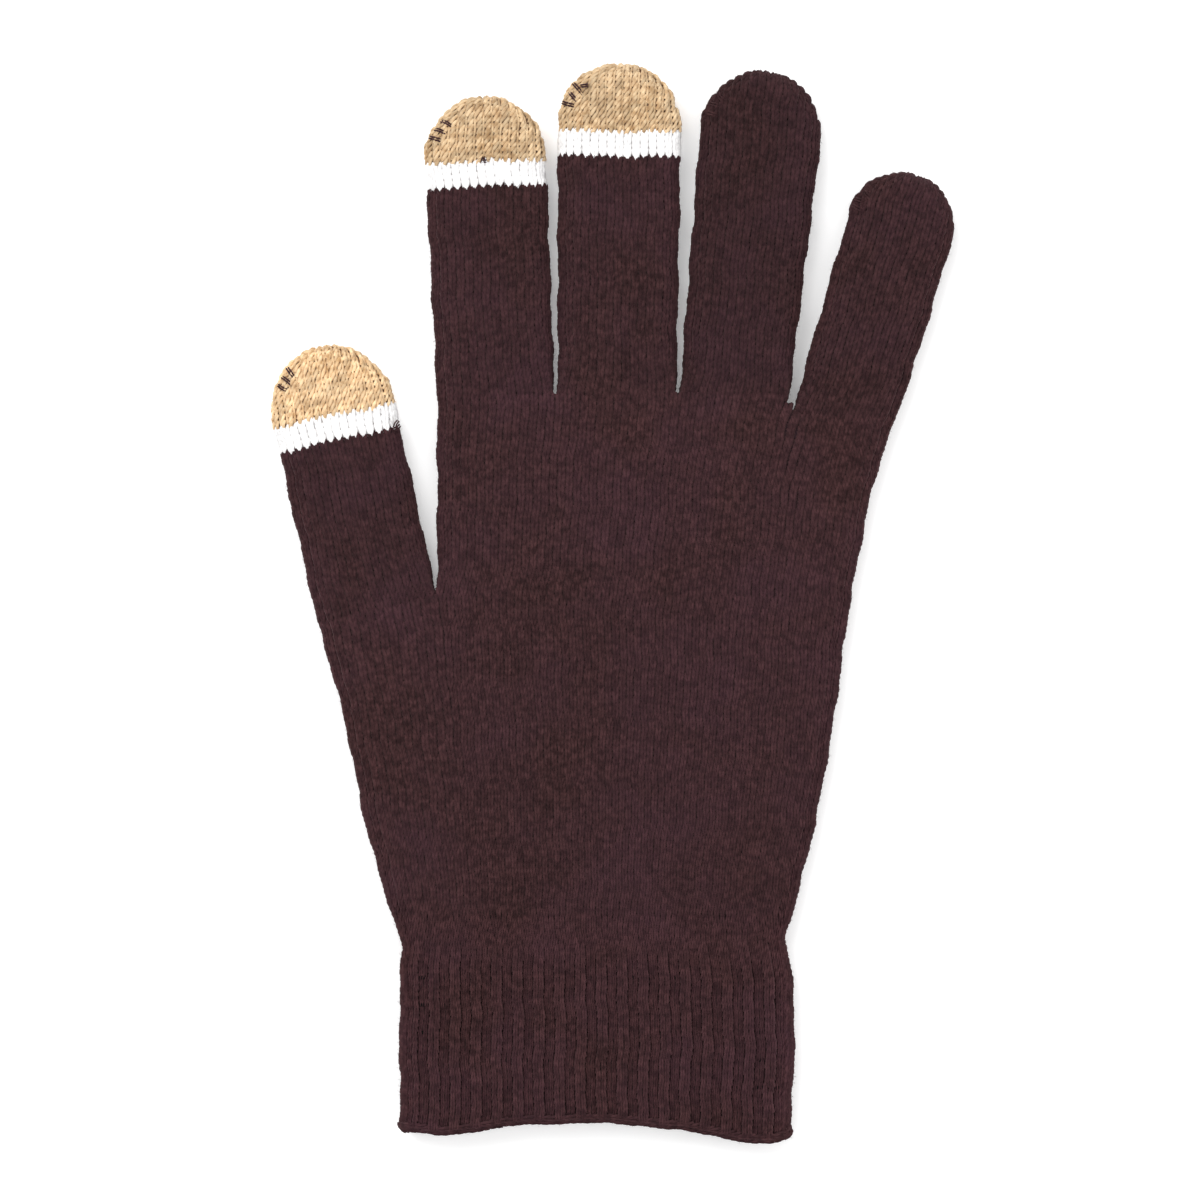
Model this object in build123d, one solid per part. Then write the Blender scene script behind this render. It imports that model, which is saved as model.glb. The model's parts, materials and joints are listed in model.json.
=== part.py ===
from build123d import *
import os
from math import asin, atan2, cos, degrees, radians, sin, sqrt

# A knitted stretch glove lying flat with its palm up. +Y runs from the cuff to the fingertips,
# the thumb is at -X, and Z = 0 is the surface that the glove lies on.

# cloth
thickness = 8.4            # outside height of the palm and the digits as they lie
wall = 1.7                 # one layer of knit
edge_round = 3.6           # rolled edge along each side
finger_gap = 0.6           # between neighbouring digits
fold_gap = 0.6             # between two lengths of tube that bend against each other

# palm
wrist_y = -72.0            # fold between the cuff and the palm
waist_left_x = -42.6
waist_right_x = 35.2
heel_left = (-50.2, -45.0)     # points on the two long edges of the palm
heel_right = (41.2, -45.0)
side_right = (48.6, 0.0)
palm_side_bulge = 0.8
thumb_crotch = (-35.6, 1.2)    # right-hand end of the thumb's root
passage_side = 1.0         # left beside and over the way into each digit
passage_step = 0.15

# digits: a finger's root is measured across the palm, its length and lean along itself
index_root_x = -35.6
index_root_y = 42.0
index_root_width = 24.0
index_tip_width = 24.8
index_length = 61.35
index_lean = -2.5
middle_root_y = 42.0
middle_root_width = 24.2
middle_tip_width = 25.2
middle_length = 68.0
middle_lean = 0.5
ring_root_y = 41.2
ring_root_width = 22.3
ring_tip_width = 24.8
ring_length = 67.5
ring_lean = 5.7
little_root_y = 37.2
little_root_width = 21.2
little_tip_width = 21.8
little_length = 52.3
little_lean = 16.5
thumb_root_width = 25.0
thumb_tip_width = 25.2
thumb_length = 54.9
thumb_lean = -12.4

# tube between the folds, starting at each root
index_lower_length = 24.3
index_middle_length = 18.0
middle_lower_length = 28.0
middle_middle_length = 20.5
ring_lower_length = 27.0
ring_middle_length = 20.5
little_lower_length = 20.8
little_middle_length = 15.0
thumb_lower_length = 29.0
thumb_upper_length = 5.9   # dark yarn between the thumb's fold and its stripe

# touchscreen tips
index_band_height = 4.9    # pale stripe under each cap
middle_band_height = 5.4
thumb_band_height = 5.4
stitch_diameter = 1.1      # thread that closes each tip, over its left edge
stitch_height = 3.2
stitch_count = 3
stitch_angle = 150.0       # place on the arc of the tip, from +X
stitch_spacing = 8.0       # degrees of that arc
stitch_clearance = 0.1
tail_diameter = 1.2        # yarn end left inside at the change of colour
tail_length = 9.0
tail_start = 1.2           # above the fold
tail_clearance = 0.15
tail_side_clearance = 1.7

# cuff
cuff_left_x = -43.1
cuff_right_x = 36.5
cuff_left_end_y = -107.6   # the lower edge bows up between its corners
cuff_middle_end_y = -105.9
cuff_right_end_y = -110.0
cuff_wall = 1.7
edge_band_height = 2.4     # bound-off edge
rib_count = 17             # on each face
rib_height = 0.5
rib_width = 3.0
elastic_count = 5
elastic_thickness = 0.7
elastic_groove = 0.9
elastic_first = 4.5        # from the upper end of the cuff
elastic_spacing = 5.6

reach = 12.0               # how far a tool body runs past what it cuts
far = 400.0
hair = 0.05                # left flat where a rounding would use up a whole edge

cuff_height = thickness + 2 * rib_height
cuff_middle_x = (cuff_left_x + cuff_right_x) / 2
back = fold_gap / 2


def shifted(point, distance, heading):
    """A point moved along a heading, in degrees clockwise from +Y."""
    turn = radians(heading)
    return (point[0] + distance * sin(turn), point[1] + distance * cos(turn))


def make_digit(left, right, length, lean, tip_width):
    """Plan of one digit: its root's corners, its lean, and the circle of its tip."""
    root = ((left[0] + right[0]) / 2, (left[1] + right[1]) / 2)
    radius = tip_width / 2
    centre = shifted(root, length - radius, lean)
    return {"left": left, "right": right, "root": root, "lean": lean, "radius": radius,
            "centre": centre, "length": length}


def lay_out_digits():
    """The fingers stand side by side along the knuckles, and the thumb at its crotch."""
    index_left = (index_root_x, index_root_y)
    index_right = (index_left[0] + index_root_width, index_root_y)
    middle_left = (index_right[0] + finger_gap, middle_root_y)
    middle_right = (middle_left[0] + middle_root_width, middle_root_y)
    ring_left = (middle_right[0] + finger_gap, ring_root_y)
    ring_right = (ring_left[0] + ring_root_width, ring_root_y)
    little_left = (ring_right[0] + finger_gap, little_root_y)
    little_right = (little_left[0] + little_root_width, little_root_y)
    thumb_left = shifted(thumb_crotch, thumb_root_width, thumb_lean - 90)
    return {
        "index": make_digit(index_left, index_right, index_length, index_lean, index_tip_width),
        "middle": make_digit(middle_left, middle_right, middle_length, middle_lean,
                             middle_tip_width),
        "ring": make_digit(ring_left, ring_right, ring_length, ring_lean, ring_tip_width),
        "little": make_digit(little_left, little_right, little_length, little_lean,
                             little_tip_width),
        "thumb": make_digit(thumb_left, thumb_crotch, thumb_length, thumb_lean, thumb_tip_width),
    }


def tangent_point(corner, digit, side):
    """Where the straight side from a root corner meets the circle of the tip."""
    dx = digit["centre"][0] - corner[0]
    dy = digit["centre"][1] - corner[1]
    span = sqrt(dx * dx + dy * dy)
    turn = atan2(dy, dx) + side * asin(digit["radius"] / span)
    straight = sqrt(span * span - digit["radius"] ** 2)
    return (corner[0] + straight * cos(turn), corner[1] + straight * sin(turn))


def carried_back(corner, shoulder):
    """A root corner carried along its side, back into the palm."""
    heading = degrees(atan2(shoulder[0] - corner[0], shoulder[1] - corner[1]))
    return shifted(corner, -reach, heading)


def stall_plan(digit):
    """Outline of one digit, carried back past its root."""
    left_shoulder = tangent_point(digit["left"], digit, 1)
    right_shoulder = tangent_point(digit["right"], digit, -1)
    left_end = carried_back(digit["left"], left_shoulder)
    right_end = carried_back(digit["right"], right_shoulder)
    top = shifted(digit["centre"], digit["radius"], digit["lean"])
    return make_face([
        Line(left_end, left_shoulder),
        ThreePointArc(left_shoulder, top, right_shoulder),
        Line(right_shoulder, right_end),
        Line(right_end, left_end),
    ])


def thick(face, inset):
    """A plan as a block that stands off the outer faces by an inset."""
    return Pos(0, 0, inset) * extrude(face, amount=thickness - 2 * inset)


def rims(block):
    faces = block.faces().sort_by(Axis.Z)
    return [faces[0], faces[-1]]


def stall(digit, inset):
    """A whole digit as a block with rolled edges, or its hollow."""
    plan = stall_plan(digit)
    block = thick(offset(plan, amount=-inset) if inset else plan, inset)
    forward = shifted((0, 0), 1, digit["lean"])
    along = Axis((0, 0, 0), (forward[0], forward[1], 0))
    rolled = [e for rim in rims(block) for e in rim.edges().sort_by(along)[1:]]
    return fillet(rolled, edge_round - inset)


def slab(origin, heading, start, end):
    """The space between two planes square to a heading."""
    block = Box(far, end - start, far, align=(Align.CENTER, Align.MIN, Align.CENTER))
    place = shifted(origin, start, heading)
    return Pos(place[0], place[1], 0) * Rot(0, 0, -heading) * block


def palm_plan(inset):
    """Outline of the palm, or of its hollow, carried past the wrist."""
    index, middle, ring, little, thumb = digits.values()
    low = wrist_y - reach
    short = back + inset
    waist_left = waist_left_x + inset
    waist_right = waist_right_x - inset
    thumb_left = shifted(shifted(thumb["left"], -short, thumb_lean), inset, thumb_lean + 90)
    thumb_right = shifted(shifted(thumb["right"], -short, thumb_lean), inset, thumb_lean + 90)
    index_left = (index["left"][0] + inset, index_root_y - short)
    side = ((thumb_right[0] + index_left[0]) / 2 + palm_side_bulge,
            (thumb_right[1] + index_left[1]) / 2)
    step_x = middle["right"][0] + finger_gap / 2 - inset
    ring_right = (ring["right"][0] - inset, ring_root_y - short)
    little_left = (little["left"][0] - finger_gap - inset, little_root_y - short)
    little_right = (little["right"][0] - inset, little_root_y - short)
    return make_face([
        Spline((waist_left, low), (waist_left, wrist_y), (heel_left[0] + inset, heel_left[1]),
               thumb_left),
        Line(thumb_left, thumb_right),
        ThreePointArc(thumb_right, side, index_left),
        Line(index_left, (step_x, middle_root_y - short)),
        Line((step_x, middle_root_y - short), (step_x, ring_root_y - short)),
        Line((step_x, ring_root_y - short), ring_right),
        Line(ring_right, little_left),
        Line(little_left, little_right),
        Spline(little_right, (side_right[0] - inset, side_right[1]),
               (heel_right[0] - inset, heel_right[1]), (waist_right, wrist_y),
               (waist_right, low)),
        Line((waist_right, low), (waist_left, low)),
    ])


def palm_block(inset):
    """The palm's block, rolled along its curved sides and flat at its roots, or its hollow."""
    block = thick(palm_plan(inset), inset)
    curved = [e for rim in rims(block) for e in rim.edges()
              if e.geom_type != GeomType.LINE and e.length > reach]
    return fillet(curved, edge_round - inset)


def passage(digit):
    """The way from the palm's hollow into a digit, through the wall at its root."""
    left, right = digit["left"], digit["right"]
    width = sqrt((right[0] - left[0]) ** 2 + (right[1] - left[1]) ** 2) - 2 * (wall + passage_side)
    heading = degrees(atan2(left[1] - right[1], right[0] - left[0]))
    place = shifted(digit["root"], -back - wall / 2, heading)
    way = Box(width, 2 * wall + 2 * back, thickness - 2 * (wall + passage_step))
    return Pos(place[0], place[1], thickness / 2) * Rot(0, 0, -heading) * way


def make_palm():
    body = palm_block(0) - palm_block(wall)
    for digit in digits.values():
        body -= passage(digit)
    return body & slab((0, wrist_y), 0, back, far)


def cuff_section(inset):
    """The flattened ring of the cuff's cloth, drawn in X and Z, without ribs."""
    width = cuff_right_x - cuff_left_x - 2 * inset
    height = thickness - 2 * inset
    return Pos(cuff_middle_x, cuff_height / 2) * RectangleRounded(width, height,
                                                                  height / 2 - hair)


def ribbed_section():
    """The ring with a low arch for each rib on both faces."""
    sagitta = 2 * rib_height
    radius = (rib_width ** 2 / 4 + sagitta ** 2) / (2 * sagitta)
    first = cuff_left_x + cuff_height / 2
    pitch = (cuff_right_x - cuff_left_x - cuff_height) / (rib_count - 1)
    section = cuff_section(0)
    for n in range(rib_count):
        for z in (radius, cuff_height - radius):
            section += Pos(first + pitch * n, z) * Circle(radius)
    return section - cuff_section(cuff_wall)


def along_cuff(section, start, end):
    """A section extruded from start to end, both measured down from the wrist."""
    plane = Plane(origin=(0, wrist_y - start, 0), x_dir=(1, 0, 0), z_dir=(0, -1, 0))
    return extrude(plane * section, amount=end - start)


def cuff_space(short):
    """Space of the cuff, from its fold to its bowed lower edge or short of that edge."""
    left = (cuff_left_x - reach, cuff_left_end_y + short)
    middle = (cuff_middle_x, cuff_middle_end_y + short)
    right = (cuff_right_x, cuff_right_end_y + short)
    far_right = (cuff_right_x + reach, cuff_right_end_y + short)
    top = wrist_y - back
    left_edge = (cuff_left_x, cuff_left_end_y + short)
    plan = make_face([
        Line((left[0], top), left),
        Line(left, left_edge),
        ThreePointArc(left_edge, middle, right),
        Line(right, far_right),
        Line(far_right, (far_right[0], top)),
        Line((far_right[0], top), (left[0], top)),
    ])
    return extrude(plan, amount=far)


def elastic_ring(n, depth, height):
    """One ring in the inner face of the cuff, as deep and as high as given."""
    middle = elastic_first + elastic_spacing * n
    play = (elastic_groove - depth) / 2
    section = cuff_section(cuff_wall - elastic_groove + play) - cuff_section(cuff_wall - play)
    return along_cuff(section, middle - height / 2, middle + height / 2)


def make_cuff():
    body = along_cuff(ribbed_section(), 0, far) & cuff_space(edge_band_height)
    for n in range(elastic_count):
        body -= elastic_ring(n, elastic_groove, elastic_groove)
    return body


def make_cuff_edge():
    ring = along_cuff(cuff_section(0) - cuff_section(cuff_wall), 0, far)
    return ring & (cuff_space(0) - cuff_space(edge_band_height))


def make_elastic():
    rings = [elastic_ring(n, elastic_thickness, elastic_thickness) for n in range(elastic_count)]
    return Compound(children=rings)


def make_closing_stitches(digit):
    """Short upright loops of thread over the rolled edge of a fingertip."""
    distance = digit["radius"] + stitch_clearance + stitch_diameter / 2
    loops = []
    for n in range(stitch_count):
        turn = radians(stitch_angle + (n - (stitch_count - 1) / 2) * stitch_spacing)
        loop = Cylinder(stitch_diameter / 2, stitch_height)
        loop = fillet(loop.edges().filter_by(GeomType.CIRCLE), stitch_diameter / 2 - hair)
        place = (digit["centre"][0] + distance * cos(turn),
                 digit["centre"][1] + distance * sin(turn), thickness / 2)
        loops.append(Pos(*place) * loop)
    return Compound(children=loops)


def make_yarn_tail(digit, fold):
    """A yarn end lying inside the stripe and cap, near the left edge."""
    radius = tail_diameter / 2
    side = digit["radius"] - wall - radius - tail_side_clearance
    start = shifted(digit["root"], fold + tail_start, digit["lean"])
    start = shifted(start, side, digit["lean"] - 90)
    tail = Cylinder(radius, tail_length, rotation=(-90, 0, 0),
                    align=(Align.CENTER, Align.CENTER, Align.MIN))
    height = wall + tail_clearance + radius
    return Pos(start[0], start[1], height) * Rot(0, 0, -digit["lean"]) * tail


def save(shape, name):
    export_step(shape, f"parts/{name}.step")


def save_finger(name, lower, middle, band=None):
    """A finger's lengths of tube between folds, with its touchscreen tip if it has one."""
    digit = digits[name]
    tube = stall(digit, 0) - stall(digit, wall)
    fold = lower + middle
    above_root = slab(digit["root"], 0, back, far)
    save(tube & above_root & slab(digit["root"], digit["lean"], -reach, lower - back),
         f"{name}_lower_tube")
    save(tube & slab(digit["root"], digit["lean"], lower + back, fold - back),
         f"{name}_middle_tube")
    save_tip(name, tube, fold + back, fold, band)


def save_tip(name, tube, start, fold, band):
    """The end of a digit: a plain closed tip, or a stripe and a conductive cap."""
    digit = digits[name]
    if band:
        top = start + band
        save(tube & slab(digit["root"], digit["lean"], start, top), f"{name}_white_band")
        save(tube & slab(digit["root"], digit["lean"], top, far), f"{name}_conductive_cap")
        save(make_yarn_tail(digit, fold), f"{name}_yarn_tail")
    else:
        save(tube & slab(digit["root"], digit["lean"], start, far), f"{name}_closed_tip")
    save(make_closing_stitches(digit), f"{name}_closing_stitches")


def save_thumb():
    """The thumb folds once, below a short length of dark tube that carries its tip."""
    digit = digits["thumb"]
    tube = stall(digit, 0) - stall(digit, wall)
    fold = thumb_lower_length
    stripe = fold + thumb_upper_length
    save(tube & slab(digit["root"], thumb_lean, back, fold - back), "thumb_lower_tube")
    save(tube & slab(digit["root"], thumb_lean, fold + back, stripe), "thumb_upper_tube")
    save_tip("thumb", tube, stripe, stripe, thumb_band_height)


os.makedirs("parts", exist_ok=True)
digits = lay_out_digits()
save(make_palm(), "palm_tube")
save(make_cuff(), "cuff_rib")
save(make_cuff_edge(), "cuff_bound_edge")
save(make_elastic(), "cuff_elastic_threads")
save_finger("index", index_lower_length, index_middle_length, index_band_height)
save_finger("middle", middle_lower_length, middle_middle_length, middle_band_height)
save_finger("ring", ring_lower_length, ring_middle_length)
save_finger("little", little_lower_length, little_middle_length)
save_thumb()
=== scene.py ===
import json
from math import cos, pi, radians, sin

import bpy
import numpy as np
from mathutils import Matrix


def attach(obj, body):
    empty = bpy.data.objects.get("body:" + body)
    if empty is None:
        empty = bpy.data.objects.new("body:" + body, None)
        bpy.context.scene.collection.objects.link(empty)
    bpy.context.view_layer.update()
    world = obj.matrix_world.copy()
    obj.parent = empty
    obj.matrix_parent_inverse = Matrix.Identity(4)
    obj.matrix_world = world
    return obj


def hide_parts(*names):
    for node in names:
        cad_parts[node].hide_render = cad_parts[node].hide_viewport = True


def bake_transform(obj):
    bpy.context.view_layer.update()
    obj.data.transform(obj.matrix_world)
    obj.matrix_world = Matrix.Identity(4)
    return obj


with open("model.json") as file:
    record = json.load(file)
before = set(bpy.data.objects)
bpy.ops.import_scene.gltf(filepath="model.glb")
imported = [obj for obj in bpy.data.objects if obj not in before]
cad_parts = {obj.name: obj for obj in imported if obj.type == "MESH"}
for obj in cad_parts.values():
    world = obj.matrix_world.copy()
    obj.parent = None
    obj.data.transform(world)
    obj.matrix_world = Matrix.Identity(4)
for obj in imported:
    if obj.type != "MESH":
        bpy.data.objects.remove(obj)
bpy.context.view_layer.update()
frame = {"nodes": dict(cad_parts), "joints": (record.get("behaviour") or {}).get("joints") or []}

mm = 0.001
joints = {joint["name"]: joint for joint in frame["joints"]}

# Lengths are in millimetres until a mesh is made. Every knitted surface is a flattened tube.
cloth = {
    "middle": 4.2,          # height of the tube's middle plane above the table
    "half": 3.75,           # from the middle plane to the middle of the yarn
    "inset": 0.45,          # the middle of the yarn lies this far inside the outline
    "roll": 3.7,            # how far in from an edge the cloth rolls over
    "crown": 0.35,          # how much fuller the upper face is away from its edges
    "crownReach": 9.0,
    "course": 1.22,         # height of one row of stitches
    "crotchRun": 11.0,      # length over which the cloth rolls over beside a crotch
    "groundInset": 0.3,     # the ground cloth lies this far under the middle of the yarn
    "wall": 1.6,
}
up = np.array([0.0, 0.0, 1.0])


def smooth(t):
    t = np.clip(t, 0.0, 1.0)
    return t * t * (3 - 2 * t)


def through(points, at):
    """A smooth curve through (place, value) points, read at a place."""
    places, values = np.array(points, float).T
    slopes = np.gradient(values, places)
    at = np.clip(at, places[0], places[-1])
    k = np.clip(np.searchsorted(places, at) - 1, 0, len(places) - 2)
    gap = places[k + 1] - places[k]
    t = (at - places[k]) / gap
    value = values[k] * (1 + 2 * t) * (1 - t) ** 2 + values[k + 1] * t * t * (3 - 2 * t)
    return value + gap * (slopes[k] * t * (1 - t) ** 2 - slopes[k + 1] * t * t * (1 - t))


def quarter(roll, half):
    """The length of a quarter of an ellipse."""
    if roll is None:
        return 0.0
    total = roll + half
    return pi / 4 * (3 * total - ((3 * roll + half) * (roll + 3 * half)) ** 0.5)


def fold(t, width, left, right, half):
    """Lay 0..1 across one face: distance from the left edge, height, and sideways tilt."""
    first, last = quarter(left, half), quarter(right, half)
    left, right = left or 0.0, right or 0.0
    flat = width - left - right
    s = t * (first + flat + last)
    leftTurn = np.clip((first - s) / max(first, 1e-6), 0, 1) * pi / 2
    rightTurn = np.clip((s - first - flat) / max(last, 1e-6), 0, 1) * pi / 2
    across = left + np.clip(s - first, 0, flat) - left * np.sin(leftTurn) + right * np.sin(rightTurn)
    height = half * np.cos(leftTurn) * np.cos(rightTurn)
    tilt = (np.arctan2(half * np.sin(rightTurn), np.cos(rightTurn) * max(right, 1e-3))
            - np.arctan2(half * np.sin(leftTurn), np.cos(leftTurn) * max(left, 1e-3)))
    fromLeft = across if first else np.full_like(across, 99.0)
    fromRight = width - across if last else np.full_like(across, 99.0)
    height = height + cloth["crown"] * smooth(np.minimum(fromLeft, fromRight) / cloth["crownReach"])
    return across, height, tilt


def settle(points):
    """The slight unevenness of cloth that was laid down by hand."""
    x, y = points[:, 0], points[:, 1]
    moved = points.copy()
    moved[:, 0] += 0.16 * np.sin(0.41 * y + 0.05 * x) + 0.10 * np.sin(0.97 * y + 1.3)
    moved[:, 1] += 0.16 * np.sin(0.33 * x + 0.04 * y) + 0.08 * np.sin(0.83 * x + 2.1)
    moved[:, 2] += (0.10 * np.sin(0.13 * x + 0.6) * np.sin(0.11 * y) * (points[:, 2] > cloth["middle"]))
    return moved


class Patch:
    """Stitch places gathered row by row, with the way each one faces."""

    def __init__(self):
        self.place, self.facing, self.along, self.size, self.row = [], [], [], [], []

    def add(self, place, facing, along, wide, high, row):
        n = len(place)
        self.place.append(place)
        self.facing.append(facing)
        self.along.append(np.broadcast_to(along, (n, 3)))
        self.size.append(np.column_stack([np.broadcast_to(wide, n), np.broadcast_to(high, n), np.ones(n)]))
        self.row.append(np.full(n, float(row)))

    def arrays(self):
        names = ("place", "facing", "along", "size", "row")
        return {name: np.concatenate(getattr(self, name)) for name in names}


def rowOf(start, end, t, left, right, face, half, middle, lift=0.0):
    """One row of stitches between two plan points: places and the way each faces."""
    start, end = np.array(start), np.array(end)
    width = float(np.linalg.norm(end - start))
    direction = (end - start) / width
    across, height, tilt = fold(t, width, left, right, half)
    if face < 0:
        height = np.minimum(height, half)
    plan = start + np.outer(across, direction)
    height = height + lift * np.cos(tilt) ** 2
    place = np.column_stack([plan, middle + face * height])
    sideways = np.append(direction, 0.0)
    facing = np.outer(np.sin(tilt), sideways) + np.outer(np.cos(tilt), up * face)
    return place, facing, width


# ---------------------------------------------------------------- the digits
digits = {
    "index": {"lean": -2.5, "root": 24.0, "tip": 24.8, "length": 61.35, "stripe": (42.6, 47.5),
              "rolled": (1, 0), "tones": (0.76, 1.07), "cap": "conductive_cap"},
    "middle": {"lean": 0.5, "root": 24.2, "tip": 25.2, "length": 68.0, "stripe": (48.8, 54.2),
               "rolled": (0, 0), "tones": (0.76, 1.07), "cap": "conductive_cap"},
    "ring": {"lean": 5.7, "root": 22.3, "tip": 24.8, "length": 67.5, "stripe": None,
             "rolled": (0, 0), "tones": (0.66, 0.94), "cap": "closed_tip"},
    "little": {"lean": 16.5, "root": 21.2, "tip": 21.8, "length": 52.3, "stripe": None,
               "rolled": (0, 1), "tones": (0.76, 1.05), "cap": "closed_tip"},
    "thumb": {"lean": -12.4, "root": 25.0, "tip": 25.2, "length": 54.9, "stripe": (34.9, 40.3),
              "rolled": (1, 0), "tones": (0.76, 1.07), "cap": "conductive_cap"},
}
turnRun = 16.0              # a leaning digit's rows turn square to it over this length
columnPitch = 1.72


def digitFrame(name):
    digit = digits[name]
    place = np.array(joints[name + "_root_fold"]["pos_m"][:2]) / mm
    lean = radians(digit["lean"])
    radius = digit["tip"] / 2 - cloth["inset"]
    centre = digit["length"] - digit["tip"] / 2
    return place, np.array([sin(lean), cos(lean)]), radius, centre


def digitEdge(name, a, inset=0.0):
    """The two plan ends of the row at distance a, and how far each side is rolled over."""
    digit = digits[name]
    root, axis, radius, centre = digitFrame(name)
    turn = -radians(digit["lean"])
    if name != "thumb":
        turn *= float(smooth(a / turnRun))
    direction = np.array([cos(turn), sin(turn)])
    share = min(max(a / centre, 0.0), 1.0)
    half = (digit["root"] / 2 - cloth["inset"]) * (1 - share) + radius * share - inset
    grown = float(smooth(a / cloth["crotchRun"]))
    rolls = [(cloth["roll"] - inset) * max(side, grown) for side in digit["rolled"]]
    middle = root + axis * a
    return middle - direction * half, middle + direction * half, rolls


def digitStitches(name, first, last):
    """Stitches on both faces of a digit, for the rows from first to last along it."""
    root, axis, radius, centre = digitFrame(name)
    roll, half = cloth["roll"], cloth["half"]
    course = cloth["course"]
    reach = radius - roll + quarter(roll, half)
    columns = int(round(2 * reach / columnPitch))
    t = (np.arange(columns) + 0.5) / columns
    along = np.append(axis, 0.0)
    patch = Patch()
    for j in range(round(first / course), round(last / course)):
        a = (j + 0.5) * course
        for face in (1, -1):
            if a <= centre:
                start, end, (left, right) = digitEdge(name, a)
                place, facing, width = rowOf(start, end, t, left, right, face, half, cloth["middle"])
                spread = width - left - right + quarter(left, half) + quarter(right, half)
                patch.add(place, facing, along, spread / columns, course, j)
                continue
            s = (t - 0.5) * 2 * reach
            rho = np.hypot(s, a - centre)
            keep = rho < reach - 0.35
            s, rho = s[keep], rho[keep]
            if not len(s):
                continue
            turn = np.clip((rho - radius + roll) / (reach - radius + roll), 0, 1) * pi / 2
            out = np.minimum(rho, radius - roll) + roll * np.sin(turn)
            side = np.array([axis[1], -axis[0]])
            outward = (np.outer(s, side) + (a - centre) * axis) / rho[:, None]
            plan = root + axis * centre + outward * out[:, None]
            height = half * np.cos(turn)
            if face > 0:
                height = height + cloth["crown"] * smooth((radius - out) / cloth["crownReach"])
            tilt = np.arctan2(half * np.sin(turn), roll * np.cos(turn))
            place = np.column_stack([plan, cloth["middle"] + face * height])
            facing = (np.column_stack([outward, np.zeros(len(s))]) * np.sin(tilt)[:, None]
                      + np.outer(np.cos(tilt), up * face))
            patch.add(place, facing, along, 2 * reach / columns, course, j)
    return patch.arrays()


def ringAt(start, end, left, right, half, middle, count=28, lift=0.0):
    """A closed ring of points round the tube, over the upper face and back under."""
    t = np.linspace(0, 1, count)
    upper = rowOf(start, end, t, left, right, 1, half, middle, lift)[0]
    lower = rowOf(start, end, t, left, right, -1, half, middle, lift)[0]
    return np.vstack([upper, lower[::-1]])


def digitGround(name, first, last):
    """The closed ground under a digit's stitches."""
    root, axis, radius, centre = digitFrame(name)
    inset = cloth["groundInset"]
    half, roll, edge = cloth["half"] - inset, cloth["roll"] - inset, radius - inset
    rings = []
    for a in np.linspace(first, min(last, centre), max(3, int((min(last, centre) - first) / 1.2))):
        start, end, (left, right) = digitEdge(name, a, inset)
        rings.append(ringAt(start, end, left, right, half, cloth["middle"]))
    if last > centre:
        side = np.array([axis[1], -axis[0]])
        for turn in np.linspace(0, pi / 2, 14)[1:-1]:
            forward = edge * sin(turn)
            b = -edge * cos(turn) * np.cos(np.linspace(0, pi, 28))
            past = np.clip((np.hypot(b, forward) - edge + roll) / roll, 0, 1)
            height = half * np.sqrt(1 - past * past)
            plan = root + axis * (centre + forward) + np.outer(b, side)
            upper = np.column_stack([plan, cloth["middle"] + height])
            lower = np.column_stack([plan, cloth["middle"] - height])
            rings.append(np.vstack([upper, lower[::-1]]))
    return [rings]


# ---------------------------------------------------------------- the palm and the cuff
palm = {
    "waist": -64.0,
    "crotch": (-35.6, 1.2),
    "thumbLeft": (-60.0, -4.17),
    "gussetShare": 0.2,     # how much of the waist the thumb's side takes
    "gussetColumns": 14,
    "columns": 56,
    "split": -14.0,
    "left": [(-110, -43.1), (-80, -43.2), (-74, -43.0), (-70, -42.9), (-64, -44.8),
              (-45, -50.3), (-27, -53.9), (-15, -56.8), (-4, -60.0)],
    "right": [(-110, 36.5), (-80, 37.1), (-74, 36.5), (-69, 35.6), (-61, 37.6), (-45, 41.5),
              (-24, 45.4), (0, 48.7), (12.6, 51.0), (25, 53.7), (37.2, 57.9), (42, 60.0)],
    "rootLine": (42.1, 4.8, 33.5, 5.5),   # its height, and its step down to the little finger
}
cuff = {
    "columns": 78,
    "rise": 0.5,            # how far the ribbed cloth's middle plane lies above the palm's
    "thinner": 0.3,
    "ribDepth": 0.75,
    "ribWales": 4,
    "end": [(-43, -106.2), (-36, -107.2), (-27, -106.3), (-17, -105.1), (0, -104.9), (14, -106.2),
            (22, -107.7), (33, -108.7), (36.5, -107.8)],
    "pull": (-66.0, -78.0),
}


def leftEdge(y):
    return float(through(palm["left"], y)) + cloth["inset"]


def rightEdge(y):
    return float(through(palm["right"], y)) - cloth["inset"]


def boundary(y):
    """The line of stitches where the thumb's side meets the palm."""
    waist = palm["waist"]
    start = leftEdge(waist) + palm["gussetShare"] * (rightEdge(waist) - leftEdge(waist))
    share = (y - waist) / (palm["crotch"][1] - waist)
    return start + (palm["crotch"][0] + cloth["inset"] - start) * min(max(share, 0.0), 1.0)


def palmRow(v):
    """The three plan points of one full-width palm row, v from the waist to the crotch."""
    waist = palm["waist"]
    y = waist + v * (palm["crotch"][1] - waist)
    yLeft = waist + v * (palm["thumbLeft"][1] - waist)
    return (leftEdge(yLeft), yLeft), (boundary(y), y), (rightEdge(y), y)


def upperRow(v):
    """The row at v between the thumb's crotch and the finger roots, before its ends bend."""
    height, step, start, run = palm["rootLine"]
    y = palm["crotch"][1] + v * (height - palm["crotch"][1])
    return (boundary(y), y), (rightEdge(y - step * v), y)


def droop(place, v):
    """Lower the right end of a row as it nears the little finger's root."""
    height, step, start, run = palm["rootLine"]
    place[:, 1] -= step * smooth((place[:, 0] - start) / run) * v
    return place


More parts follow.
